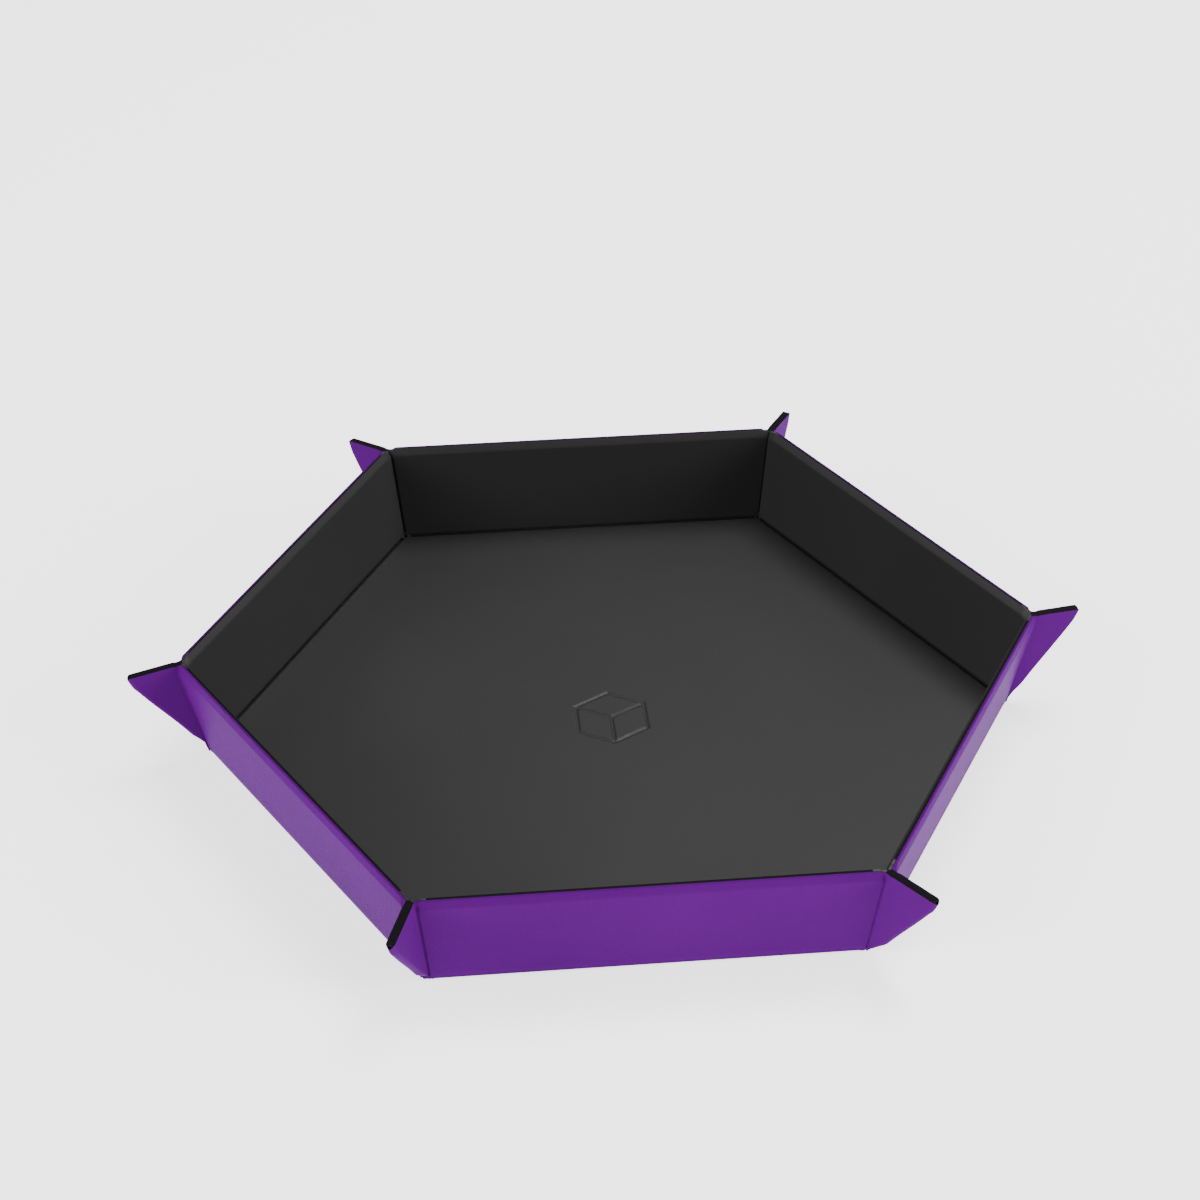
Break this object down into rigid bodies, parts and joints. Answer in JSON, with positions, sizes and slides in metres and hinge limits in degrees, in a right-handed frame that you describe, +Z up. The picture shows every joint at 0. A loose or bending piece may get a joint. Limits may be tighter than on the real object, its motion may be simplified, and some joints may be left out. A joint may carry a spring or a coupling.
{
  "type": "folding dice tray",
  "caption": "Hexagonal folding dice tray of leatherette over stiff boards, with a soft lining, leaning walls and pinched corner ears that open so it lies flat.",
  "frame": {"origin": "centre of the flat underside of the floor", "axes": "+Z up out of the open tray; two floor corners lie on the X axis; the wall called 1 faces -Y"},
  "size_m": [0.268, 0.2349, 0.032],
  "materials": {
    "cover_leatherette": "purple leatherette with a fine grain and a soft sheen",
    "soft_lining": "matt black short-nap microfibre",
    "grey_board": "raw grey binder's board",
    "magnet_nickel": "nickel-plated"
  },
  "bodies": {
    "floor": {"cover_floor": "cover_leatherette", "lining_floor": "soft_lining", "board_floor": "grey_board"},
    "wall_1": {"cover_wall_1": "cover_leatherette", "lining_wall_1": "soft_lining", "board_wall_1": "grey_board"},
    "wall_2": {"cover_wall_2": "cover_leatherette", "lining_wall_2": "soft_lining", "board_wall_2": "grey_board"},
    "wall_3": {"cover_wall_3": "cover_leatherette", "lining_wall_3": "soft_lining", "board_wall_3": "grey_board"},
    "wall_4": {"cover_wall_4": "cover_leatherette", "lining_wall_4": "soft_lining", "board_wall_4": "grey_board"},
    "wall_5": {"cover_wall_5": "cover_leatherette", "lining_wall_5": "soft_lining", "board_wall_5": "grey_board"},
    "wall_6": {"cover_wall_6": "cover_leatherette", "lining_wall_6": "soft_lining", "board_wall_6": "grey_board"},
    "ear_1a": {"cover_ear_1a": "cover_leatherette", "lining_ear_1a": "soft_lining", "magnet_ear_1a": "magnet_nickel"},
    "ear_1b": {"cover_ear_1b": "cover_leatherette", "lining_ear_1b": "soft_lining", "magnet_ear_1b": "magnet_nickel"},
    "ear_2a": {"cover_ear_2a": "cover_leatherette", "lining_ear_2a": "soft_lining", "magnet_ear_2a": "magnet_nickel"},
    "ear_2b": {"cover_ear_2b": "cover_leatherette", "lining_ear_2b": "soft_lining", "magnet_ear_2b": "magnet_nickel"},
    "ear_3a": {"cover_ear_3a": "cover_leatherette", "lining_ear_3a": "soft_lining", "magnet_ear_3a": "magnet_nickel"},
    "ear_3b": {"cover_ear_3b": "cover_leatherette", "lining_ear_3b": "soft_lining", "magnet_ear_3b": "magnet_nickel"},
    "ear_4a": {"cover_ear_4a": "cover_leatherette", "lining_ear_4a": "soft_lining", "magnet_ear_4a": "magnet_nickel"},
    "ear_4b": {"cover_ear_4b": "cover_leatherette", "lining_ear_4b": "soft_lining", "magnet_ear_4b": "magnet_nickel"},
    "ear_5a": {"cover_ear_5a": "cover_leatherette", "lining_ear_5a": "soft_lining", "magnet_ear_5a": "magnet_nickel"},
    "ear_5b": {"cover_ear_5b": "cover_leatherette", "lining_ear_5b": "soft_lining", "magnet_ear_5b": "magnet_nickel"},
    "ear_6a": {"cover_ear_6a": "cover_leatherette", "lining_ear_6a": "soft_lining", "magnet_ear_6a": "magnet_nickel"},
    "ear_6b": {"cover_ear_6b": "cover_leatherette", "lining_ear_6b": "soft_lining", "magnet_ear_6b": "magnet_nickel"}
  },
  "joints": [
    {"name": "wall_1_fold", "type": "hinge", "parent": "floor", "child": "wall_1", "pos_m": [0, -0.09959, 0.00145], "axis": [1, 0, 0], "range_deg": [0, 79.5]},
    {"name": "wall_2_fold", "type": "hinge", "parent": "floor", "child": "wall_2", "pos_m": [0.08625, -0.0498, 0.00145], "axis": [0.5, 0.866, 0], "range_deg": [0, 79.5]},
    {"name": "wall_3_fold", "type": "hinge", "parent": "floor", "child": "wall_3", "pos_m": [0.08625, 0.0498, 0.00145], "axis": [-0.5, 0.866, 0], "range_deg": [0, 79.5]},
    {"name": "wall_4_fold", "type": "hinge", "parent": "floor", "child": "wall_4", "pos_m": [0, 0.09959, 0.00145], "axis": [-1, 0, 0], "range_deg": [0, 79.5]},
    {"name": "wall_5_fold", "type": "hinge", "parent": "floor", "child": "wall_5", "pos_m": [-0.08625, 0.0498, 0.00145], "axis": [-0.5, -0.866, 0], "range_deg": [0, 79.5]},
    {"name": "wall_6_fold", "type": "hinge", "parent": "floor", "child": "wall_6", "pos_m": [-0.08625, -0.0498, 0.00145], "axis": [0.5, -0.866, 0], "range_deg": [0, 79.5]},
    {"name": "ear_1a_fold", "type": "hinge", "parent": "wall_1", "child": "ear_1a", "pos_m": [0.05815, -0.10231, 0.01612], "axis": [0.1046, -0.1812, 0.9779], "range_deg": [0, 47.55]},
    {"name": "ear_1b_fold", "type": "hinge", "parent": "wall_2", "child": "ear_1b", "pos_m": [0.05953, -0.10151, 0.01612], "axis": [-0.1046, 0.1812, -0.9779], "range_deg": [0, 73.55]},
    {"name": "ear_2a_fold", "type": "hinge", "parent": "wall_2", "child": "ear_2a", "pos_m": [0.11768, -0.0008, 0.01612], "axis": [0.2093, 0, 0.9779], "range_deg": [0, 45.55]},
    {"name": "ear_2b_fold", "type": "hinge", "parent": "wall_3", "child": "ear_2b", "pos_m": [0.11768, 0.0008, 0.01612], "axis": [-0.2093, 0, -0.9779], "range_deg": [0, 75.55]},
    {"name": "ear_3a_fold", "type": "hinge", "parent": "wall_3", "child": "ear_3a", "pos_m": [0.05953, 0.10151, 0.01612], "axis": [0.1046, 0.1812, 0.9779], "range_deg": [0, 60.55]},
    {"name": "ear_3b_fold", "type": "hinge", "parent": "wall_4", "child": "ear_3b", "pos_m": [0.05815, 0.10231, 0.01612], "axis": [-0.1046, -0.1812, -0.9779], "range_deg": [0, 60.55]},
    {"name": "ear_4a_fold", "type": "hinge", "parent": "wall_4", "child": "ear_4a", "pos_m": [-0.05815, 0.10231, 0.01612], "axis": [-0.1046, 0.1812, 0.9779], "range_deg": [0, 40.55]},
    {"name": "ear_4b_fold", "type": "hinge", "parent": "wall_5", "child": "ear_4b", "pos_m": [-0.05953, 0.10151, 0.01612], "axis": [0.1046, -0.1812, -0.9779], "range_deg": [0, 80.55]},
    {"name": "ear_5a_fold", "type": "hinge", "parent": "wall_5", "child": "ear_5a", "pos_m": [-0.11768, 0.0008, 0.01612], "axis": [-0.2093, 0, 0.9779], "range_deg": [0, 46.55]},
    {"name": "ear_5b_fold", "type": "hinge", "parent": "wall_6", "child": "ear_5b", "pos_m": [-0.11768, -0.0008, 0.01612], "axis": [0.2093, 0, -0.9779], "range_deg": [0, 74.55]},
    {"name": "ear_6a_fold", "type": "hinge", "parent": "wall_6", "child": "ear_6a", "pos_m": [-0.05953, -0.10151, 0.01612], "axis": [-0.1046, -0.1812, 0.9779], "range_deg": [0, 51.55]},
    {"name": "ear_6b_fold", "type": "hinge", "parent": "wall_1", "child": "ear_6b", "pos_m": [-0.05815, -0.10231, 0.01612], "axis": [0.1046, 0.1812, -0.9779], "range_deg": [0, 69.55]}
  ],
  "couplings": [
    {"joint": "wall_2_fold", "follows": "wall_1_fold", "ratio": 1},
    {"joint": "wall_3_fold", "follows": "wall_1_fold", "ratio": 1},
    {"joint": "wall_4_fold", "follows": "wall_1_fold", "ratio": 1},
    {"joint": "wall_5_fold", "follows": "wall_1_fold", "ratio": 1},
    {"joint": "wall_6_fold", "follows": "wall_1_fold", "ratio": 1},
    {"joint": "ear_1a_fold", "follows": "wall_1_fold", "ratio": 0.59814},
    {"joint": "ear_1b_fold", "follows": "wall_1_fold", "ratio": 0.92519},
    {"joint": "ear_2a_fold", "follows": "wall_1_fold", "ratio": 0.57299},
    {"joint": "ear_2b_fold", "follows": "wall_1_fold", "ratio": 0.95034},
    {"joint": "ear_3a_fold", "follows": "wall_1_fold", "ratio": 0.76167},
    {"joint": "ear_3b_fold", "follows": "wall_1_fold", "ratio": 0.76167},
    {"joint": "ear_4a_fold", "follows": "wall_1_fold", "ratio": 0.51009},
    {"joint": "ear_4b_fold", "follows": "wall_1_fold", "ratio": 1.0132},
    {"joint": "ear_5a_fold", "follows": "wall_1_fold", "ratio": 0.58556},
    {"joint": "ear_5b_fold", "follows": "wall_1_fold", "ratio": 0.93776},
    {"joint": "ear_6a_fold", "follows": "wall_1_fold", "ratio": 0.64846},
    {"joint": "ear_6b_fold", "follows": "wall_1_fold", "ratio": 0.87487}
  ]
}
